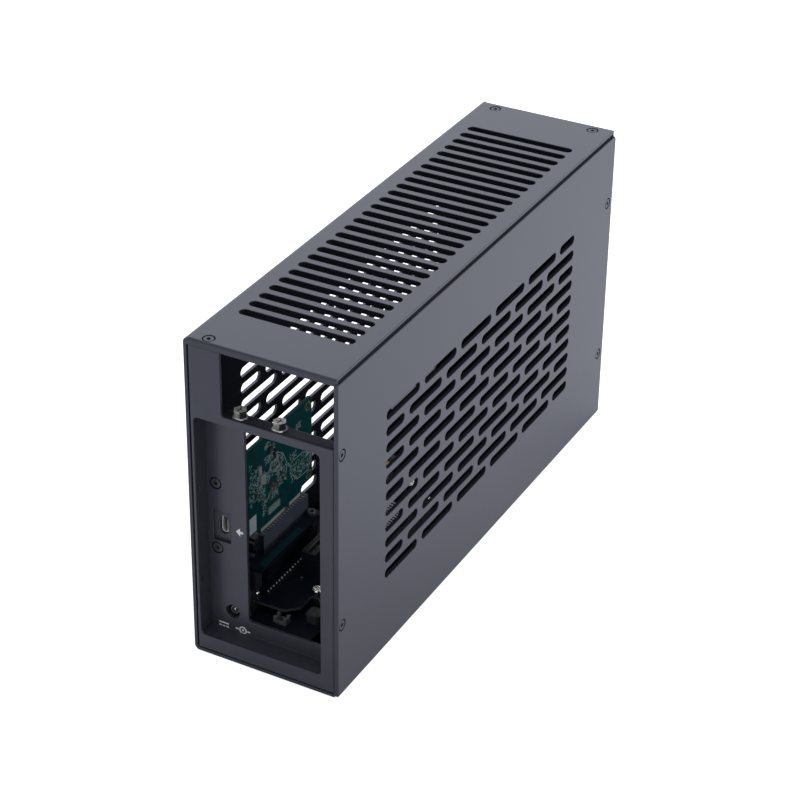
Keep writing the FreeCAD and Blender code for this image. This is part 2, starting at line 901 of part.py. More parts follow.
def card_fingers():
    """Contact strips on both sides of the card edge, split by the notch."""
    group = []
    spans = [(card_edge_front + finger_margin, card_notch_front - finger_margin),
             (card_notch_front + card_notch_width + finger_margin, card_edge_back - finger_margin)]
    for y0, y1 in spans:
        for x0 in (card_right, card_left - finger_thickness):
            group.append(box(x0, x0 + finger_thickness, y0, y1, card_edge_bottom + 0.4, finger_top))
    return group


def card_socket():
    """The socket that the controller card stands in, with contact windows along
    both sides of its groove and a web at the key."""
    x = (card_left + card_right) / 2
    a = socket_width / 2
    y0 = socket_front
    y1 = socket_front + socket_length
    z0 = riser_top
    z1 = riser_top + socket_height
    body = box(x - a, x + a, y0, y1, z0, z1)
    g = card_sheet / 2 + socket_groove_play
    low = card_edge_bottom - seam
    key0 = card_notch_front + seam
    key1 = card_notch_front + card_notch_width - seam
    groove = box(x - g, x + g, card_edge_front - seam, card_edge_back + seam, low, z1 + 1)
    web = box(x - g, x + g, key0, key1, low, z1)
    windows = []
    step = (card_edge_back - card_edge_front) / socket_window_count
    for k in range(socket_window_count):
        y = card_edge_front + (k + 0.5) * step
        for side in (-1, 1):
            xs = sorted([x + side * (g + 0.5), x + side * (a - 0.7)])
            windows.append(box(xs[0], xs[1], y - 0.65, y + 0.65, z1 - 1.2, z1 + 1))
    return body.cut([groove.cut(web)] + windows)


def on_card(place):
    """A block on the right face of the card."""
    y0, y1, z0, z1, out = place
    return box(card_right, card_right + out, y0, y1, z0, z1)


def card_chip():
    return on_card(card_chip_place)


def card_parts():
    return [on_card(place) for place in card_part_places]


def card_label():
    return on_card((label_y, label_y + label_width, label_z, label_z + label_height, label_thickness))


# Data port and power inlet

def port_shell():
    y0 = bracket_front + port_sink
    outer = stadium(port_length, port_width, port_depth)
    inner = stadium(port_length - 2 * port_wall, port_width - 2 * port_wall, port_depth - 1.0)
    tube = placed(outer, (1, 0, 0), 90, (port_x, y0 + port_depth, port_z))
    bore = placed(inner, (1, 0, 0), 90, (port_x, y0 + port_depth - 1.0, port_z))
    return tube.cut(bore)


def port_tongue():
    y0 = bracket_front + port_sink + 0.9
    y1 = bracket_front + port_sink + port_depth - 1.0
    a = tongue_thickness / 2
    b = tongue_length / 2
    tongue = box(port_x - a, port_x + a, y0, y1, port_z - b, port_z + b)
    c = port_width / 2 - port_wall - 0.02
    d = port_length / 2 - port_width / 2
    base = box(port_x - c, port_x + c, y1 - 2.6, y1, port_z - d, port_z + d)
    return tongue.fuse(base).removeSplitter()


def jack_body():
    """The power inlet on the lower board, with a round nose in the panel."""
    a = jack_width / 2
    y0 = io_back + 0.2
    block = box(jack_x - a, jack_x + a, y0, jack_back, power_board_top, jack_z + jack_rise)
    nose = rod(jack_nose_radius, (jack_x, io_front + jack_nose_sink, jack_z), (jack_x, y0 + 0.1, jack_z))
    bore_end = io_front + jack_bore_depth
    bore = rod(jack_bore_radius, (jack_x, io_front - 1, jack_z), (jack_x, bore_end, jack_z))
    return block.fuse(nose).cut(bore)


def jack_sleeve():
    """The metal ring that stands in the middle of the inlet."""
    y0 = io_front + jack_sleeve_sink
    y1 = io_front + jack_bore_depth
    outer = rod(jack_sleeve_radius, (jack_x, y0, jack_z), (jack_x, y1, jack_z))
    inner = jack_sleeve_radius - jack_sleeve_wall
    return outer.cut(rod(inner, (jack_x, y0 - 1, jack_z), (jack_x, y1 + 1, jack_z)))


def jack_pin():
    y0 = io_front + jack_pin_sink
    y1 = io_front + jack_bore_depth
    pin = rod(jack_pin_radius, (jack_x, y0, jack_z), (jack_x, y1, jack_z))
    tip = [e for e in pin.Edges if e.BoundBox.YMax < y0 + 1e-3]
    return pin.makeChamfer(0.3, tip)


# Graphics card slot

def card_slot():
    """The long slot with its key, and two ears at the far end for the latch."""
    a = slot_body_width / 2
    y0 = slot_front
    y1 = slot_front + slot_length
    z0 = slot_board_top
    z1 = slot_board_top + slot_body_height
    body = box(slot_x - a, slot_x + a, y0, y1, z0, z1)
    g = slot_groove / 2
    deep = z1 - slot_groove_depth
    key_y = y0 + slot_key_start
    groove = box(slot_x - g, slot_x + g, y0 + slot_end_wall, y1 - slot_end_wall, deep, z1 + 1)
    key = box(slot_x - g, slot_x + g, key_y, key_y + slot_key_length, deep, z1)
    body = body.cut(groove.cut(key))
    ears = []
    for side in (-1, 1):
        xs = sorted([slot_x + side * a, slot_x + side * (a - ear_wall)])
        ears.append(box(xs[0], xs[1], y1 - 0.5, y1 + ear_length, z0, z0 + ear_height))
    body = body.fuse(ears).removeSplitter()
    x0 = slot_x - a - 1
    x1 = slot_x + a + 1
    return body.cut(rod(latch_pin_radius + latch_pin_play, (x0, pivot_y, pivot_z), (x1, pivot_y, pivot_z)))


def slot_contacts():
    """Spring contacts along both walls of the groove, as two strips in two spans."""
    g = slot_groove / 2
    z1 = slot_board_top + slot_body_height
    y0 = slot_front + slot_end_wall + 0.4
    key0 = slot_front + slot_key_start
    key1 = key0 + slot_key_length
    y1 = slot_front + slot_length - slot_end_wall - 0.4
    group = []
    for side in (-1, 1):
        xs = sorted([slot_x + side * g, slot_x + side * (g - 0.15)])
        for a, b in ((y0, key0 - 0.4), (key1 + 0.4, y1)):
            group.append(box(xs[0], xs[1], a, b, z1 - slot_groove_depth + 0.6, z1 - 0.8))
    return group


def slot_latch():
    """The latch that holds a card down: a hub between the ears, an arm, a hook over
    the slot and a thumb tab."""
    inner = slot_body_width / 2 - ear_wall - latch_side_play
    x0 = slot_x - inner
    x1 = slot_x + inner
    y = pivot_y
    z = pivot_z
    top = pivot_z + latch_height
    hub = rod(latch_hub_radius, (x0, y, z), (x1, y, z))
    arm_front = y - latch_hub_radius
    arm_back = arm_front + latch_arm
    arm = box(x0, x1, arm_front, arm_back, z, top)
    tip = arm_front - latch_hook
    low = top - latch_hook_height
    hook = prism([(x0, arm_front, top), (x0, tip, top - latch_hook_height * 0.6), (x0, tip, low),
                  (x0, arm_front, low)], (x1 - x0, 0, 0))
    tab_z = top - latch_hook_height - latch_thumb_height
    tab = box(x0, x1, arm_back - 0.1, arm_back + latch_thumb, tab_z, tab_z + latch_thumb_height)
    across = [e for e in tab.Edges if e.BoundBox.XLength > x1 - x0 - 1e-6]
    tab = tab.makeFillet(0.8, [e for e in across if e.BoundBox.YMin > arm_back + latch_thumb - 1e-3])
    a = slot_body_width / 2 - 0.2
    pin = rod(latch_pin_radius, (slot_x - a, y, z), (slot_x + a, y, z))
    return hub.fuse([arm, hook, tab, pin]).removeSplitter()


# Other parts on the lower boards

def bridge_connector():
    """The board-to-board connector between the slot board and the riser."""
    body = box(bridge_left, bridge_right, bridge_front, bridge_back, slot_board_top, riser_bottom)
    middle = (slot_board_top + riser_bottom) / 2
    line = 0.3
    y0 = bridge_front - 1
    y1 = bridge_back + 1
    near = box(bridge_left - 1, bridge_left + line, y0, y1, middle - line, middle + line)
    far = box(bridge_right - line, bridge_right + 1, y0, y1, middle - line, middle + line)
    return body.cut([near, far])


def pin_places():
    return [pin_row_first + k * pin_row_pitch for k in range(pin_row_count)]


def pin_strip():
    """The moulded strip that holds the header pins."""
    a = pin_row_pitch / 2
    y0 = pin_row_first - a
    length = pin_row_pitch * pin_row_count
    z = slot_board_top
    strip = box(pin_row_x - a, pin_row_x + a, y0, y0 + length, z, z + pin_base_height)
    b = pin_side / 2
    holes = [box(pin_row_x - b, pin_row_x + b, y - b, y + b, z - 1, z + 2) for y in pin_places()]
    return strip.cut(holes)


def header_pins():
    b = pin_side / 2
    z = slot_board_top
    return [box(pin_row_x - b, pin_row_x + b, y - b, y + b, z, z + pin_height) for y in pin_places()]


def heat_sink():
    """The finned block on the power parts: fins across the board on a solid base."""
    z0 = power_board_top
    block = box(sink_left, sink_right, sink_front, sink_front + sink_length, z0, z0 + sink_height)
    count = int((sink_length - fin_thickness) / fin_pitch)
    spare = sink_length - fin_thickness - count * fin_pitch
    gaps = []
    for k in range(count):
        y = sink_front + spare / 2 + fin_thickness + k * fin_pitch
        y1 = y + fin_pitch - fin_thickness
        gaps.append(box(sink_left - 1, sink_right + 1, y, y1, z0 + sink_base, z0 + sink_height + 1))
    return block.cut(gaps)


def coils():
    group = []
    for k in range(coil_count):
        y = coil_first + k * coil_pitch
        b = coil_side / 2
        block = box(coil_x - b, coil_x + b, y - b, y + b, power_board_top, power_board_top + coil_height)
        corners = [e for e in block.Edges if abs(e.BoundBox.ZLength - coil_height) < 1e-6]
        group.append(block.makeChamfer(1.2, corners))
    return group


def board_clip():
    """The small clip at the front of the lower board: two bright ends on a base."""
    z0 = power_board_top
    z1 = z0 + clip_height
    y0 = clip_front
    y1 = clip_back
    block = box(clip_left, clip_right, y0, y1, z0, z1)
    middle = box(clip_left + clip_end, clip_right - clip_end, y0 - 1, y1 + 1, z0 + clip_base, z1 + 1)
    across = box(clip_left - 1, clip_right + 1, y0 + clip_end, y1 - clip_end, z0 + clip_base + 1.0, z1 + 1)
    return block.cut([middle, across])


builders = {
    'shell': shell,
    'side_panel': side_panel,
    'front_plate': front_plate,
    'back_plate': back_plate,
    'connector_panel': io_panel,
    'port_bracket': port_bracket,
    'top_screws': top_screws,
    'bottom_screws': bottom_screws,
    'left_screws': left_screws,
    'panel_screws': panel_screws,
    'port_screws': port_screws,
    'bay_screws': bay_screws,
    'power_board': power_board,
    'board_standoffs': board_standoffs,
    'low_board_screws': low_board_screws,
    'board_spacers': board_spacers,
    'slot_board': slot_board,
    'slot_board_screws': slot_board_screws,
    'card_slot': card_slot,
    'slot_contacts': slot_contacts,
    'slot_latch': slot_latch,
    'riser_board': riser_board,
    'riser_standoffs': riser_standoffs,
    'riser_screws': riser_screws,
    'bridge_connector': bridge_connector,
    'card_socket': card_socket,
    'controller_card': controller_card,
    'card_fingers': card_fingers,
    'card_chip': card_chip,
    'card_parts': card_parts,
    'card_label': card_label,
    'card_screws': card_screws,
    'port_shell': port_shell,
    'port_tongue': port_tongue,
    'jack_body': jack_body,
    'jack_sleeve': jack_sleeve,
    'jack_pin': jack_pin,
    'pin_strip': pin_strip,
    'header_pins': header_pins,
    'heat_sink': heat_sink,
    'coils': coils,
    'board_clip': board_clip,
}


def main():
    os.makedirs('parts', exist_ok=True)
    for name, build in builders.items():
        made = build()
        solids = made if isinstance(made, list) else [made]
        loose = []
        for solid in solids:
            loose.extend(solid.Solids)
        shape = loose[0] if len(loose) == 1 else Part.makeCompound(loose)
        moved(shape).exportStep('parts/' + name + '.step')
        box_now = shape.BoundBox
        print(name, len(loose), 'solids, valid', shape.isValid(),
              'x %.1f..%.1f y %.1f..%.1f z %.1f..%.1f' % (box_now.XMin, box_now.XMax, box_now.YMin,
                                                         box_now.YMax, box_now.ZMin, box_now.ZMax))


main()
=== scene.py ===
# Looks of the external graphics card enclosure: materials, fine parts on the boards, printed
# marks, studio light and the camera. Lengths are in millimetres, with X from the middle, Y from
# the front face and Z from the underside. Only the lamps and the floor are in metres.
import bpy
import bmesh
import math
import random
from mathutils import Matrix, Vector


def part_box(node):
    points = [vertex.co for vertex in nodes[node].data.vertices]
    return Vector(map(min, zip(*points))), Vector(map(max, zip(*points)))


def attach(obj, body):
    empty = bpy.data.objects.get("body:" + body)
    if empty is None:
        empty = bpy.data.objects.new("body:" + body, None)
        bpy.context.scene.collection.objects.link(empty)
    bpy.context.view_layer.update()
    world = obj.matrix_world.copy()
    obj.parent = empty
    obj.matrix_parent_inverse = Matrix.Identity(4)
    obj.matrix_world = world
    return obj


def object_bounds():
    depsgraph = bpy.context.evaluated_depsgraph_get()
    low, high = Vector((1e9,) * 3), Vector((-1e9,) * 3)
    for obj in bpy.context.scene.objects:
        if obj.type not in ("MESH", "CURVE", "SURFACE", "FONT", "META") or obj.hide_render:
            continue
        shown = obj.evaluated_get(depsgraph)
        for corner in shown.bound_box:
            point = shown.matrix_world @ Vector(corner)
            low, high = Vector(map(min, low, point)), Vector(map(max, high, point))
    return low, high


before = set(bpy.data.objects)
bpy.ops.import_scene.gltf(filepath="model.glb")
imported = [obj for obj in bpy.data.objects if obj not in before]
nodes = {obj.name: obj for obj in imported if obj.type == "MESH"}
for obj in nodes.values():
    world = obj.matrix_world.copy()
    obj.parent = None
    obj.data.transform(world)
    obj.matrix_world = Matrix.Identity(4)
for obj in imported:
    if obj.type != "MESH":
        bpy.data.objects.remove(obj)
cad_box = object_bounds()
MM = 0.001
FRONT = cad_box[0][1]
LEFT = cad_box[0][0] / MM
RIGHT = cad_box[1][0] / MM
DEPTH = (cad_box[1][1] - FRONT) / MM
HEIGHT = cad_box[1][2] / MM
FAR = 1000.0


def at(x, y, z):
    """A point given in millimetres from the middle of the front bottom edge."""
    return Vector((x * MM, y * MM + FRONT, z * MM))


def box_mm(node):
    """The lowest and the highest corner of a CAD node, in millimetres."""
    return [(corner[0] / MM, (corner[1] - FRONT) / MM, corner[2] / MM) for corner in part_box(node)]


# Shader nodes

def math_node(t, kind, a, b=0.0):
    n = t.nodes.new("ShaderNodeMath")
    n.operation = kind
    for socket, v in zip(n.inputs, (a, b)):
        if isinstance(v, (int, float)):
            socket.default_value = v
        else:
            t.links.new(v, socket)
    return n.outputs[0]


def both(t, a, b):
    return math_node(t, "MULTIPLY", a, b)


def opposite(t, a):
    return math_node(t, "SUBTRACT", 1.0, a)


def within(t, value, low, high):
    """1 where a value lies between two bounds."""
    return both(t, math_node(t, "GREATER_THAN", value, low), math_node(t, "LESS_THAN", value, high))


def length_of(t, a, b):
    """The length of a line that reaches a across and b along."""
    return math_node(t, "SQRT", math_node(t, "ADD", both(t, a, a), both(t, b, b)))


def axes(t, where):
    split = t.nodes.new("ShaderNodeSeparateXYZ")
    t.links.new(where, split.inputs[0])
    return split.outputs


def span(t, place, axis, low=-FAR, high=FAR):
    """1 where a place lies between two bounds in millimetres."""
    start = FRONT if axis == "Y" else 0.0
    return within(t, place[axis], low * MM + start, high * MM + start)


def facing(t):
    """The direction that a face looks in."""
    return axes(t, t.nodes.new("ShaderNodeNewGeometry").outputs["True Normal"])


def noise(t, where, scale, detail):
    n = t.nodes.new("ShaderNodeTexNoise")
    n.inputs["Scale"].default_value = scale
    n.inputs["Detail"].default_value = detail
    t.links.new(where, n.inputs["Vector"])
    return n.outputs["Fac"]


def ramp(t, value, low, high):
    r = t.nodes.new("ShaderNodeValToRGB")
    for element, position, color in zip(r.color_ramp.elements, (0.3, 0.7), (low, high)):
        element.position = position
        element.color = list(color) + [1]
    t.links.new(value, r.inputs["Fac"])
    return r.outputs["Color"]


def blend_colors(t, share, a, b):
    n = t.nodes.new("ShaderNodeMix")
    n.data_type = "RGBA"
    t.links.new(share, n.inputs[0])
    for socket, v in ((n.inputs[6], a), (n.inputs[7], b)):
        if isinstance(v, (tuple, list)):
            socket.default_value = list(v) + [1]
        else:
            t.links.new(v, socket)
    return n.outputs[2]


def surface(name, rough, metallic=0.0, specular=0.5, sheen=(1, 1, 1)):
    """A new material: its tree, its Principled shader and the object coordinates."""
    m = bpy.data.materials.new(name)
    m.use_nodes = True
    t = m.node_tree
    p = t.nodes["Principled BSDF"]
    p.inputs["Metallic"].default_value = metallic
    p.inputs["Specular IOR Level"].default_value = specular
    p.inputs["Specular Tint"].default_value = list(sheen) + [1]
    p.inputs["Roughness"].default_value = rough
    return m, t, p, t.nodes.new("ShaderNodeTexCoord").outputs["Object"]


GRAIN_DEPTH = 0.04
LEAST_ROUGH = 0.02


def shade(name, color, rough, metallic=0.0, spread=0.12, scale=900.0, rough_spread=0.06,
          grain=0.0, grain_scale=3000.0, soft_edge=0.0, specular=0.5, sheen=(1, 1, 1),
          mask=None, masked=(0, 0, 0), masked_rough=0.95):
    """A surface whose colour and roughness vary softly, with a fine grain in the bump, edges
    that look softly rounded, and another colour where a mask says so."""
    m, t, p, where = surface(name, rough, metallic, specular, sheen)
    soft = noise(t, where, scale, 4.0)
    low = [c * (1 - spread) for c in color]
    high = [min(1.0, c * (1 + spread)) for c in color]
    tint = ramp(t, soft, low, high)
    band = t.nodes.new("ShaderNodeMapRange")
    band.inputs["To Min"].default_value = max(LEAST_ROUGH, rough - rough_spread)
    band.inputs["To Max"].default_value = min(1.0, rough + rough_spread)
    t.links.new(soft, band.inputs["Value"])
    matt = band.outputs["Result"]
    if mask:
        share = mask(t, axes(t, where))
        tint = blend_colors(t, share, tint, masked)
        matt = math_node(t, "MAXIMUM", matt, both(t, share, masked_rough))
    t.links.new(tint, p.inputs["Base Color"])
    t.links.new(matt, p.inputs["Roughness"])
    normal = None
    if soft_edge:
        edge = t.nodes.new("ShaderNodeBevel")
        edge.samples = 6
        edge.inputs["Radius"].default_value = soft_edge * MM
        normal = edge.outputs["Normal"]
    if grain:
        bump = t.nodes.new("ShaderNodeBump")
        bump.inputs["Strength"].default_value = grain
        bump.inputs["Distance"].default_value = GRAIN_DEPTH * MM
        t.links.new(noise(t, where, grain_scale, 2.0), bump.inputs["Height"])
        if normal:
            t.links.new(normal, bump.inputs["Normal"])
        normal = bump.outputs["Normal"]
    if normal:
        t.links.new(normal, p.inputs["Normal"])
    return m


def striped(name, color, between, pitch, share, rough):
    """Stripes across Y: a colour over a share of each pitch, and another between."""
    m, t, p, where = surface(name, rough)
    turn = math_node(t, "DIVIDE", axes(t, where)["Y"], pitch * MM)
    gap = math_node(t, "GREATER_THAN", math_node(t, "FRACT", turn), share)
    t.links.new(blend_colors(t, gap, color, between), p.inputs["Base Color"])
    return m


# Masks that say where on a node its second colour lies

EDGE_BAND = 1.2


def shell_inside_shade(t, place):
    """1 where painted shade darkens the shell: its inner faces and the cut edges of its top. Its
    front edge and the cut edges of its left wall stay bright."""
    inner = both(t, span(t, place, "X", LEFT + 1.5), span(t, place, "Z", 0.3, HEIGHT - 0.3))
    rim = both(t, span(t, place, "X", RIGHT - 1.5), span(t, place, "Z", HEIGHT - 1.1))
    return both(t, both(t, inner, opposite(t, rim)), span(t, place, "Y", EDGE_BAND))


def panel_inside_shade(t, place):
    """1 where painted shade darkens the side panel: its inner face, its upper edge and the cut
    walls of its slots.
    """
    middle = both(t, span(t, place, "Y", EDGE_BAND, DEPTH - EDGE_BAND), span(t, place, "Z", 1.0))
    return both(t, middle, span(t, place, "X", high=RIGHT - 0.3))


# 1 on the inner faces of the back plate, where painted shade darkens them
def back_inside_shade(t, place):
    return span(t, place, "Y", high=DEPTH - 0.4)


def notch_floor_shade(t, place):
    """1 where painted shade darkens the upward face of the front plate in the notch, behind its
    front edge.
    """
    face = both(t, span(t, place, "Z", 130.8, 134.5), span(t, place, "X", -30.0, RIGHT - 2.4))
    return both(t, face, span(t, place, "Y", EDGE_BAND))


PANEL_FACE = 10.0
SEATS = [(-31.0, 90.2), (-31.0, 54.6)]
SEAT_RADIUS = 3.2


def window_walls_shade(t, place):
    """1 where painted shade darkens the cut walls of the port window and of the two screw seats
    beside it.
    """
    walls = both(t, span(t, place, "X", -32.8, -23.6), span(t, place, "Z", 58.9, 75.5))
    for x, z in SEATS:
        dx = math_node(t, "SUBTRACT", place["X"], x * MM)
        dz = math_node(t, "SUBTRACT", place["Z"], z * MM)
        seat = math_node(t, "LESS_THAN", length_of(t, dx, dz), SEAT_RADIUS * MM)
        walls = math_node(t, "MAXIMUM", walls, seat)
    return both(t, walls, span(t, place, "Y", PANEL_FACE - 0.05))


def board_edge(t, place):
    """1 on the upright edges of a board that lies flat."""
    return within(t, facing(t)["Z"], -0.5, 0.5)


def card_rim(t, place):
    """1 on the narrow edges of the upright card."""
    return within(t, facing(t)["X"], -0.5, 0.5)


def right_facets_shade(t, place):
    """1 on the faces of a bright screw that look to the right, where painted shade darkens them."""
    turned = facing(t)
    return both(t, within(t, turned["X"], 0.3, 2), within(t, turned["Z"], -0.5, 0.6))


def front_parts(t, place):
    """1 on the parts of the card that stand nearest the front."""
    return span(t, place, "Y", high=52.0)


def riser_painted_shade(t, place):
    """0 on the strip of the riser that shows green beside the socket, 1 elsewhere, where painted
    shade turns the riser near-black.
    """
    top = box_mm("riser_board")[1][2]
    strip = both(t, span(t, place, "X", -24.2), span(t, place, "Y", 34.5, 71.2))
    return opposite(t, both(t, strip, span(t, place, "Z", top - 0.05)))


def socket_ends(t, place):
    """1 on the two ends of the socket, which are darker, and on its lower part, where painted shade
    darkens it.
    """
    low, high = box_mm("card_socket")
    ends = opposite(t, span(t, place, "Y", low[1] + 0.2, high[1] - 0.3))
    return math_node(t, "MAXIMUM", ends, span(t, place, "Z", high=low[2] + 2.2))


def pin_shank_shade(t, place):
    """1 on the header pins below their tips, where painted shade darkens them."""
    return span(t, place, "Z", high=box_mm("header_pins")[1][2] - 0.6)


def latch_arm(t, place):
    """1 on the arm and the thumb piece of the latch, behind its hook."""
    return span(t, place, "Y", 141.2)


def clip_middle(t, place):
    low, high = box_mm("board_clip")
    across = span(t, place, "X", low[0] + 1.7, high[0] - 1.7)
    return both(t, across, span(t, place, "Y", low[1] + 1.0, high[1] - 1.0))


# Painted sheet metal and its screws
CASE = (0.0365, 0.0380, 0.0505)
# SHADE is painted shade: the near-black laid on inner faces and on cut edges that lie in shadow
SHADE = (0.0045, 0.005, 0.009)
PAINT = dict(metallic=0.3, spread=0.05, scale=60, grain=0.2, grain_scale=2600, rough_spread=0.03,
             soft_edge=0.4, specular=0.28, sheen=(0.78, 0.82, 1.0))
shell_paint = shade("shell_paint", CASE, 0.34, mask=shell_inside_shade, masked=SHADE, **PAINT)
side_paint = shade("side_paint", CASE, 0.34, mask=panel_inside_shade, masked=SHADE, **PAINT)
back_paint = shade("back_paint", CASE, 0.34, mask=back_inside_shade, masked=SHADE, **PAINT)
# The front plate's paint is a lighter copy of the case paint, painted light that lifts its face;
# its near-black on the floor of the notch is painted shade.
front_paint_lit = shade("front_paint_lit", (0.0400, 0.0416, 0.0550), 0.34, mask=notch_floor_shade,
                    masked=(0.004, 0.0045, 0.007), masked_rough=0.8, **PAINT)
# The connector panel's paint is a lighter copy of the case paint, painted light that lifts the
# recessed face; its near-black on the walls of the port window and the screw seats is painted
# shade.
panel_paint_lit = shade("panel_paint_lit", (0.0450, 0.0465, 0.0610), 0.34, mask=window_walls_shade,
                    masked=(0.002, 0.002, 0.003), **PAINT)
case_screw = shade("screw_paint", CASE, 0.34, **PAINT)
# The bracket's paint is a lighter copy of the case paint, painted light against the shade it lies
# in behind the port window.
bracket = shade("bracket_paint_lit", (0.052, 0.054, 0.070), 0.4, metallic=0.3, spread=0.08, scale=300,
                specular=0.28)

# Bright metal
port_screw = shade("port_screw", (0.062, 0.063, 0.070), 0.25, metallic=0.5, spread=0.1)
nickel = shade("nickel", (0.66, 0.64, 0.60), 0.16, metallic=1.0, spread=0.06, scale=700,
               rough_spread=0.05)
brass = shade("turned_brass", (0.42, 0.34, 0.20), 0.3, metallic=1.0, spread=0.08, scale=1200)
# The bay screws and the jack's pin: a pale base whose strong patchy tone paints highlights, and
# painted shade on the facets that look right.
screw_painted_glint = shade("screw_painted_glint", (0.95, 0.945, 0.94), 0.2, metallic=0.4, spread=0.6, scale=620,
                     mask=right_facets_shade, masked=(0.06, 0.06, 0.062), masked_rough=0.3)
steel = shade("port_steel", (0.78, 0.78, 0.78), 0.3, metallic=0.6, spread=0.1)
sink = shade("sink_aluminium", (0.34, 0.35, 0.38), 0.4, metallic=0.9, spread=0.06, scale=600)
clip_metal = shade("clip_metal", (0.15, 0.155, 0.175), 0.3, metallic=0.4, spread=0.3,
                   mask=clip_middle, masked=(0.03, 0.03, 0.036), masked_rough=0.5)

# Boards
BOARD = dict(spread=0.25, scale=500, specular=0.1, mask=board_edge, masked_rough=0.5)
GREEN = dict(spread=0.22, scale=420, masked_rough=0.5)
DARK_BOARD = (0.0042, 0.0056, 0.0125)
board_black = shade("board_black", DARK_BOARD, 0.4, masked=(0.045, 0.048, 0.058), **BOARD)
board_low = shade("board_low", DARK_BOARD, 0.4, masked=(0.11, 0.115, 0.13), **BOARD)
board_green = shade("board_green", (0.0015, 0.040, 0.046), 0.45, specular=0.06, mask=card_rim,
                    masked=(0.03, 0.09, 0.09), **GREEN)
riser_green = shade("riser_green", (0.001, 0.034, 0.036), 0.45, specular=0.1, mask=riser_painted_shade,
                    masked=(0.005, 0.009, 0.015), **GREEN)

# Moulded parts
MOULDED = dict(spread=0.15, scale=800, grain=0.15)
socket_black = shade("moulded_black", (0.0065, 0.0075, 0.014), 0.42, specular=0.2, **MOULDED)
socket_grey = shade("moulded_grey", (0.060, 0.070, 0.092), 0.4, mask=socket_ends,
                    masked=(0.005, 0.006, 0.010), masked_rough=0.5, **MOULDED)
inlet_gloss = shade("inlet_gloss", (0.10, 0.105, 0.115), 0.15, spread=0.5, scale=600)
inlet_body = shade("inlet_body", (0.020, 0.021, 0.026), 0.2, spread=0.2, scale=600)
yellow = shade("moulded_yellow", (0.62, 0.45, 0.02), 0.4, spread=0.1, scale=500,
               mask=latch_arm, masked=(0.012, 0.012, 0.014), masked_rough=0.5)
chip = shade("chip_moulding", (0.022, 0.023, 0.026), 0.5, spread=0.2, scale=1500, grain=0.2)
pale_chip = shade("pale_moulding", (0.17, 0.22, 0.22), 0.5, spread=0.2)
small_parts = shade("small_parts", (0.020, 0.024, 0.026), 0.45, spread=0.2, mask=front_parts,
                    masked=(0.22, 0.28, 0.27), masked_rough=0.5)
ceramic = shade("ceramic_tan", (0.11, 0.105, 0.08), 0.5, spread=0.15)

# Contacts, solder and print
pin_tin = shade("pin_tin", (0.62, 0.63, 0.65), 0.32, metallic=0.25, spread=0.05, scale=1500,
                mask=pin_shank_shade, masked=(0.01, 0.01, 0.012), masked_rough=0.6)
dim_gold = shade("plated_contacts", (0.16, 0.13, 0.08), 0.35, metallic=0.8, spread=0.1, scale=1500)
fingers = striped("contact_stripes", (0.46, 0.46, 0.42), (0.05, 0.10, 0.10), 1.0, 0.66, 0.35)
tin = shade("solder_tin", (0.34, 0.41, 0.42), 0.4, metallic=0.4, spread=0.1, scale=1200)
pad_tin = shade("pad_tin", (0.12, 0.13, 0.08), 0.45, metallic=0.4, spread=0.15, scale=1200)
ink = shade("board_ink", (0.26, 0.42, 0.42), 0.6, spread=0.1)
label = shade("label_white", (0.42, 0.47, 0.53), 0.6, spread=0.25, scale=1400)
slot_strip_and_glint = shade("slot_strip_and_glint", (0.085, 0.087, 0.095), 0.5, spread=0.3, scale=1200)
print_pale = shade("printed_pale", (0.62, 0.63, 0.66), 0.6, spread=0.06)

finish = {
    "shell": shell_paint, "side_panel": side_paint, "front_plate": front_paint_lit,
    "back_plate": back_paint, "connector_panel": panel_paint_lit, "port_bracket": bracket,
    "top_screws": case_screw, "bottom_screws": case_screw, "left_screws": case_screw,
    "panel_screws": case_screw, "riser_screws": case_screw, "riser_standoffs": case_screw,
    "port_screws": port_screw, "bay_screws": screw_painted_glint, "slot_board_screws": nickel,
    "low_board_screws": nickel, "card_screws": nickel, "board_standoffs": brass,
    "board_spacers": brass, "power_board": board_low, "slot_board": board_black,
    "controller_card": board_green, "riser_board": riser_green, "card_slot": socket_black,
    "card_socket": socket_grey, "bridge_connector": socket_black, "pin_strip": socket_black,
    "port_tongue": socket_black, "header_pins": pin_tin, "slot_contacts": dim_gold,
    "card_fingers": fingers, "slot_latch": yellow, "jack_body": inlet_body,
    "jack_sleeve": inlet_gloss, "jack_pin": screw_painted_glint, "port_shell": steel,
    "card_chip": pale_chip, "card_parts": small_parts, "card_label": label, "coils": chip,
    "heat_sink": sink, "board_clip": clip_metal,
}
for name, look in finish.items():
    for material_slot in nodes[name].material_slots:
        material_slot.material = look


# Ways to make a piece

def link(name, data):
    obj = bpy.data.objects.new(name, data)
    bpy.context.scene.collection.objects.link(obj)
    return obj


def piece(name, bm, look):
    """A piece of the enclosure from its mesh and its material, hung on the enclosure's body."""
    bmesh.ops.recalc_face_normals(bm, faces=bm.faces)
    mesh = bpy.data.meshes.new(name)
    bm.to_mesh(mesh)
    bm.free()
    mesh.materials.append(look)
    obj = link(name, mesh)
    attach(obj, "enclosure")
    return obj


BOX_QUADS = ((0, 3, 2, 1), (4, 5, 6, 7), (0, 1, 5, 4), (1, 2, 6, 5), (2, 3, 7, 6), (3, 0, 4, 7))


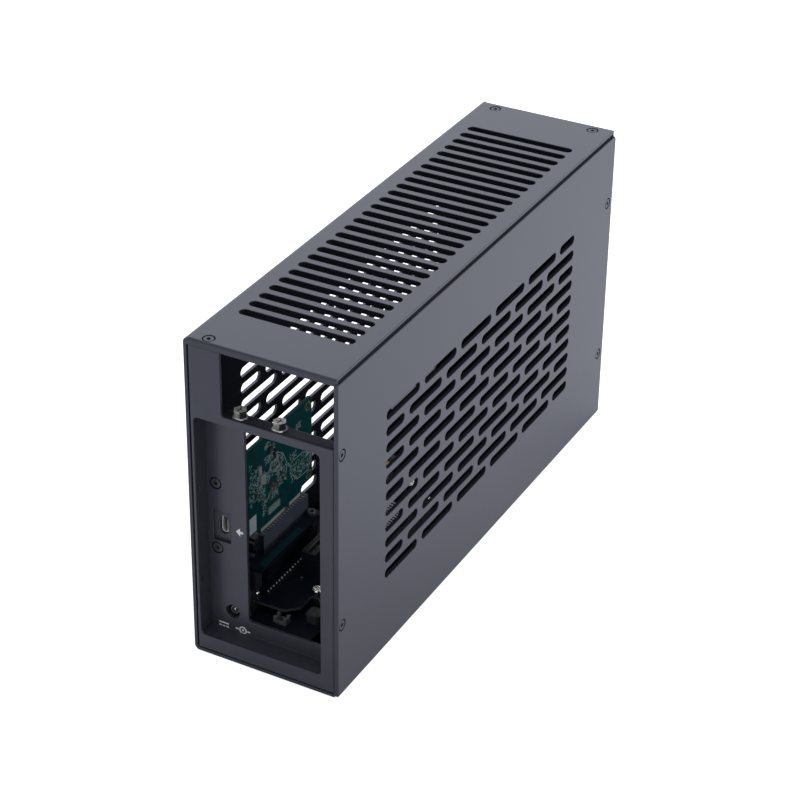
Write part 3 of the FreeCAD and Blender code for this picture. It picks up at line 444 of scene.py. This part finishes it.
def blocks(name, spans, look, bevel=0.0):
    """One piece made of blocks, each (x0, x1, y0, y1, z0, z1, turn about its own X axis)."""
    bm = bmesh.new()
    for x0, x1, y0, y1, z0, z1, turn in spans:
        cy = (y0 + y1) / 2
        cz = (z0 + z1) / 2
        ca = math.cos(turn)
        sa = math.sin(turn)
        corners = []
        for x in (x0, x1):
            for y, z in ((y0, z0), (y1, z0), (y1, z1), (y0, z1)):
                dy = y - cy
                dz = z - cz
                corner = at(x, cy + dy * ca - dz * sa, cz + dy * sa + dz * ca)
                corners.append(bm.verts.new(corner))
        for quad in BOX_QUADS:
            bm.faces.new([corners[k] for k in quad])
    obj = piece(name, bm, look)
    if bevel:
        soft = obj.modifiers.new("soft_edges", "BEVEL")
        soft.width = bevel * MM
        soft.segments = 2


def ring(name, centre, inner, outer, thick, look, steps=28):
    """A flat ring on the card, facing +X, from the centre of its back face."""
    x, y, z = centre
    bm = bmesh.new()
    loops = []
    for radius in (inner, outer):
        for px in (x, x + thick):
            turns = [2 * math.pi * k / steps for k in range(steps)]
            loops.append([bm.verts.new(at(px, y + radius * math.cos(a), z + radius * math.sin(a)))
                          for a in turns])
    low_in, high_in, low_out, high_out = loops
    for a, b in ((high_in, high_out), (high_out, low_out), (low_in, high_in), (low_out, low_in)):
        for k in range(steps):
            n = (k + 1) % steps
            bm.faces.new((a[k], a[n], b[n], b[k]))
    piece(name, bm, look)


def prints(name, outlines, look):
    """Thin patches on the connector panel, each given by its corners (x, z)."""
    bm = bmesh.new()
    for corners in outlines:
        near = [bm.verts.new(at(x, PANEL_FACE - 0.07, z)) for x, z in corners]
        far = [bm.verts.new(at(x, PANEL_FACE + 0.02, z)) for x, z in corners]
        bm.faces.new(near)
        bm.faces.new(far[::-1])
        for k in range(len(corners)):
            n = (k + 1) % len(corners)
            bm.faces.new((near[k], far[k], far[n], near[n]))
    piece(name, bm, look)


# Small parts and print on the upright card

CARD_X = box_mm("controller_card")[1][0]
QUARTER = math.pi / 2
PRINT_THICK = 0.05
TIN_THICK = 0.25
DARK_THICK = 0.5
TAN_THICK = 0.6


def on_card(y, z, w, h, thick, turn=0.0):
    """A block on the face of the upright card, centred at (y, z)."""
    return (CARD_X - 0.02, CARD_X + thick, y - w / 2, y + w / 2, z - h / 2, z + h / 2, turn)


def line(a, b, wide):
    """A printed line on the card, between two places (y, z)."""
    dy = b[0] - a[0]
    dz = b[1] - a[1]
    middle = ((a[0] + b[0]) / 2, (a[1] + b[1]) / 2)
    return on_card(*middle, math.hypot(dy, dz), wide, PRINT_THICK, math.atan2(dz, dy))


# Fields of small parts on the card: (y0, y1, z0, z1, how many)
FIELDS = [
    (36.6, 39.2, 60.0, 84.0, 26), (39.2, 44.0, 62.0, 80.0, 34), (44.0, 50.6, 60.4, 74.5, 60),
    (48.0, 51.0, 49.2, 60.0, 22), (50.0, 55.0, 66.0, 72.5, 30), (51.0, 58.4, 77.2, 80.8, 30),
    (51.0, 56.0, 85.6, 88.4, 10), (56.2, 60.6, 82.2, 86.2, 14), (55.0, 63.0, 68.0, 76.2, 60),
    (60.0, 67.6, 66.6, 76.0, 56), (62.0, 70.6, 58.6, 68.0, 58), (51.0, 63.0, 54.6, 61.0, 36),
    (70.8, 73.6, 64.8, 66.4, 5), (74.5, 93.0, 53.8, 64.0, 90), (80.0, 84.8, 79.8, 84.2, 20),
    (73.2, 80.0, 66.8, 70.4, 16),
]
CROWDING = 2.2
PRINTS_UNTIL = 0.70
TINS_UNTIL = 0.93
DARKS_UNTIL = 0.97
marks = []
tins = []
darks = []
tans = []
draw = random.Random(11)
for y0, y1, z0, z1, many in FIELDS:
    for _ in range(int(many * CROWDING)):
        y = draw.uniform(y0, y1)
        z = draw.uniform(z0, z1)
        long_side = draw.uniform(0.5, 1.5)
        short_side = draw.uniform(0.2, 0.38)
        turn = draw.choice((0.0, QUARTER))
        kind = draw.random()
        if kind < PRINTS_UNTIL:
            marks.append(on_card(y, z, long_side, short_side, PRINT_THICK, turn))
        elif kind < TINS_UNTIL:
            tins.append(on_card(y, z, long_side * 0.7, short_side * 1.2, TIN_THICK, turn))
        elif kind < DARKS_UNTIL:
            darks.append(on_card(y, z, long_side, short_side * 1.6, DARK_THICK, turn))
        else:
            tans.append(on_card(y, z, long_side * 0.8, short_side * 1.5, TAN_THICK, turn))

# The printed outline round the parts near the back, and single lines: places (y, z)
OUTLINE = [(74.6, 65.2), (73.8, 60.4), (80.4, 53.0), (90.6, 52.6), (94.0, 56.6), (93.6, 61.0),
           (86.4, 65.4), (77.4, 65.6)]
LINES = [((41.2, 73.9), (44.4, 66.4)), ((67.4, 75.4), (71.2, 67.4)), ((71.2, 67.4), (70.4, 62.6)),
         ((51.0, 81.0), (58.6, 81.0)), ((58.6, 81.0), (67.0, 75.6)), ((44.4, 66.4), (48.2, 60.6))]
marks += [line(a, b, 0.4) for a, b in zip(OUTLINE, OUTLINE[1:] + OUTLINE[:1])]
marks += [line(a, b, 0.35) for a, b in LINES]

# Larger parts: a tin block, two tin ends of a chip, a dark block and a row of tan blocks
tins += [on_card(67.35, 61.25, 1.3, 1.2, 1.1)]
tins += [on_card(60.2, z, 1.9, 0.8, 1.28) for z in (79.8, 78.1)]
darks += [on_card(61.4, 61.5, 1.8, 1.4, 0.7)]
tans += [on_card(54.4 + 1.25 * k, 60.2 + 1.8 * (k % 3), 0.9, 1.8, 0.9) for k in range(7)]

blocks("card_print", marks, ink)
blocks("card_solder", tins, tin)
blocks("card_small_black", darks, chip)
blocks("card_small_tan", tans, ceramic)

# Tinned rings round the two holes at the back corners of the card
HOLE_Y = 91.5
PAD_INNER = 1.65
PAD_OUTER = 2.7
for k, z in enumerate((49.6, 88.7)):
    centre = (CARD_X - 0.01, HOLE_Y, z)
    ring("card_pad_%d" % k, centre, PAD_INNER, PAD_OUTER, 0.06, pad_tin)

# Contacts in the windows of the socket, one on each side of the card, and the ear at its front
SOCKET_LOW, SOCKET_HIGH = box_mm("card_socket")
SOCKET_X = (SOCKET_LOW[0] + SOCKET_HIGH[0]) / 2
CONTACTS_FRONT = SOCKET_LOW[1] + 1.8
CONTACTS_BACK = SOCKET_HIGH[1] - 1.8
CONTACTS_LOW = SOCKET_HIGH[2] - 1.1
CONTACTS_HIGH = SOCKET_HIGH[2] - 0.3
CONTACT_COUNT = 18
step = (CONTACTS_BACK - CONTACTS_FRONT) / CONTACT_COUNT
contacts = []
for k in range(CONTACT_COUNT):
    y = CONTACTS_FRONT + (k + 0.5) * step
    for x in (SOCKET_X - 2.2, SOCKET_X + 2.2):
        contacts.append((x - 0.75, x + 0.75, y - 0.4, y + 0.4, CONTACTS_LOW, CONTACTS_HIGH, 0.0))
blocks("socket_contacts", contacts, tin)
ear = [(-33.0, -27.8, 36.6, 43.7, 37.2, 41.2, 0.0), (-32.4, -28.4, 39.2, 43.7, 32.0, 42.0, 0.0)]
blocks("socket_ear", ear, socket_black, bevel=0.3)

# A pin with its collar on the slot board, beside the header
BOARD_TOP = box_mm("slot_board")[1][2]
pin = [(-9.65, -9.15, 49.5, 50.0, BOARD_TOP, BOARD_TOP + 1.9, 0.0),
       (-9.95, -8.85, 49.2, 50.3, BOARD_TOP, BOARD_TOP + 0.5, 0.0)]
blocks("lone_pin", pin, pin_tin, bevel=0.1)

# Pale lines along the top of the long slot: the two in the middle are contact strips by the groove,
# the two outer ones are painted highlights on the slot's edges
SLOT_TOP = box_mm("card_slot")[1][2]
edges = [(x - 0.09, x + 0.09, 58.6, 140.4, SLOT_TOP - 0.04, SLOT_TOP + 0.03, 0.0)
         for x in (-13.55, -11.3, -8.75, -6.5)]
blocks("slot_edges", edges, slot_strip_and_glint)


# Plain printed marks: a line over three dashes and a ring round a dot between two bars below
# the power inlet, and a small arrow beside the data port

def patch(x0, x1, z0, z1):
    return [(x0, z0), (x1, z0), (x1, z1), (x0, z1)]


def on_circle(centre, radius, k, steps):
    turn = 2 * math.pi * k / steps
    return (centre[0] + radius * math.cos(turn), centre[1] + radius * math.sin(turn))


def arc_patch(centre, inner, outer, k, steps):
    """One part of a ring."""
    here = [on_circle(centre, radius, k, steps) for radius in (inner, outer)]
    there = [on_circle(centre, radius, k + 1, steps) for radius in (outer, inner)]
    return here + there


DISC = (-18.2, 11.55)
sign = [patch(-31.4, -26.0, 12.0, 12.7)]
sign += [patch(x0, x1, 10.2, 10.9) for x0, x1 in ((-31.4, -29.9), (-29.4, -28.0), (-27.5, -26.0))]
sign += [patch(x0, x1, 11.2, 11.9) for x0, x1 in ((-22.2, -20.6), (-15.8, -14.2))]
sign += [arc_patch(DISC, 1.45, 2.1, k, 12) for k in range(12)]
sign.append([on_circle(DISC, 0.6, k, 8) for k in range(8)])
prints("inlet_sign", sign, print_pale)
arrow = [[(-20.6, 67.2), (-18.3, 65.0), (-18.3, 69.4)], patch(-18.2, -16.7, 66.6, 67.8)]
prints("port_sign", arrow, print_pale)


# Floor and world: white to the camera and to gloss, and a plain light on the object

FLOOR_HALF = 6.0
FLOOR_Z = -0.0002
FLOOR_COLOR = (0.86, 0.86, 0.86, 1)
FLOOR_GLOW = 0.6
FLOOR_GLOSS = 0.57
WORLD_LIGHT = 0.74
WORLD_WHITE = 0.26
CORNER_X = 0.05
CORNER_Y = -0.15
CORNER_REACH = 0.2
AROUND_X = 0.04
AROUND_Y = 0.12
AROUND_REACH = 0.08
AROUND_LEAST = 0.7


def path_light(t, direct, gloss):
    """A strength for rays from the camera or through glass, and one for rays from gloss."""
    path = t.nodes.new("ShaderNodeLightPath")
    rays = path.outputs
    seen = math_node(t, "MAXIMUM", rays["Is Camera Ray"], rays["Is Transmission Ray"])
    return math_node(t, "ADD", both(t, seen, direct), both(t, rays["Is Glossy Ray"], gloss))


def away_from_shade(t):
    """The share of the floor's gloss glow that is left, which paints the object's shadow into what
    gloss sees: none before the right front corner, a lower one close around the object, and all of
    it further off."""
    place = axes(t, t.nodes.new("ShaderNodeTexCoord").outputs["Object"])
    dx = math_node(t, "SUBTRACT", place["X"], CORNER_X)
    dy = math_node(t, "SUBTRACT", place["Y"], CORNER_Y)
    corner = math_node(t, "DIVIDE", length_of(t, dx, dy), CORNER_REACH)
    aside = math_node(t, "SUBTRACT", math_node(t, "ABSOLUTE", place["X"]), AROUND_X)
    along = math_node(t, "SUBTRACT", math_node(t, "ABSOLUTE", place["Y"]), AROUND_Y)
    around = math_node(t, "DIVIDE", math_node(t, "MAXIMUM", aside, along), AROUND_REACH)
    around = math_node(t, "MINIMUM", math_node(t, "MAXIMUM", around, 0.0), 1.0)
    around = math_node(t, "ADD", both(t, around, 1 - AROUND_LEAST), AROUND_LEAST)
    return both(t, math_node(t, "MINIMUM", corner, 1.0), around)


def floor_material():
    m = bpy.data.materials.new("floor_pale")
    m.use_nodes = True
    t = m.node_tree
    p = t.nodes["Principled BSDF"]
    p.inputs["Roughness"].default_value = 0.9
    p.inputs["Specular IOR Level"].default_value = 0.0
    p.inputs["Base Color"].default_value = FLOOR_COLOR
    glow = t.nodes.new("ShaderNodeEmission")
    glow.inputs["Color"].default_value = (1, 1, 1, 1)
    gloss = both(t, away_from_shade(t), FLOOR_GLOSS)
    t.links.new(path_light(t, FLOOR_GLOW, gloss), glow.inputs["Strength"])
    add = t.nodes.new("ShaderNodeAddShader")
    t.links.new(p.outputs["BSDF"], add.inputs[0])
    t.links.new(glow.outputs["Emission"], add.inputs[1])
    t.links.new(add.outputs["Shader"], t.nodes["Material Output"].inputs["Surface"])
    return m


floor_mesh = bpy.data.meshes.new("floor")
floor_corners = [(x * FLOOR_HALF, y * FLOOR_HALF, FLOOR_Z)
                 for x, y in ((-1, -1), (1, -1), (1, 1), (-1, 1))]
floor_mesh.from_pydata(floor_corners, [], [(0, 1, 2, 3)])
floor_mesh.materials.append(floor_material())
link("floor", floor_mesh)

world = bpy.data.worlds.new("studio")
bpy.context.scene.world = world
world.use_nodes = True
sky = world.node_tree
background = sky.nodes["Background"]
background.inputs["Color"].default_value = (1, 1, 1, 1)
strength = math_node(sky, "ADD", path_light(sky, WORLD_WHITE, WORLD_WHITE), WORLD_LIGHT)
sky.links.new(strength, background.inputs["Strength"])


# Lamps and camera

def turn_to(obj, direction):
    obj.rotation_euler = direction.to_track_quat("-Z", "Y").to_euler()


def lamp(name, where, size, power):
    """A rectangular lamp that looks at the middle of the object, in metres."""
    data = bpy.data.lights.new(name, "AREA")
    data.shape = "RECTANGLE"
    data.size, data.size_y = size
    data.energy = power
    obj = link(name, data)
    obj.location = where
    turn_to(obj, Vector((0, 0, 0.1)) - Vector(where))


lamp("over_box", (0.0, 0.0, 1.7), (1.4, 1.4), 2)
lamp("side_box", (1.6, 0.2, 1.0), (1.2, 1.2), 16.6)
lamp("back_box_high", (-0.5, 1.1, 1.5), (1.4, 1.4), 4.4)
lamp("back_box_low", (-0.9, 1.5, 0.9), (1.4, 1.0), 4.6)

# The camera as fitted to the photograph
AZIMUTH = math.radians(29.494)
ELEVATION = math.radians(30.444)
FOCAL_PIXELS = 2304.962
PHOTO_PIXELS = 800.0
SENSOR = 36.0
camera_data = bpy.data.cameras.new("photo_camera")
camera_data.sensor_width = SENSOR
camera_data.lens = FOCAL_PIXELS * SENSOR / PHOTO_PIXELS
camera_data.shift_x = 0.07208
camera_data.shift_y = -0.03274
camera_data.clip_end = 20.0
camera = link("photo_camera", camera_data)
camera.location = at(453.48, -728.84, 666.23)
turn_to(camera, Vector((-math.sin(AZIMUTH) * math.cos(ELEVATION),
                        math.cos(AZIMUTH) * math.cos(ELEVATION), -math.sin(ELEVATION))))
bpy.context.scene.camera = camera
bpy.context.scene.view_settings.view_transform = "Standard"
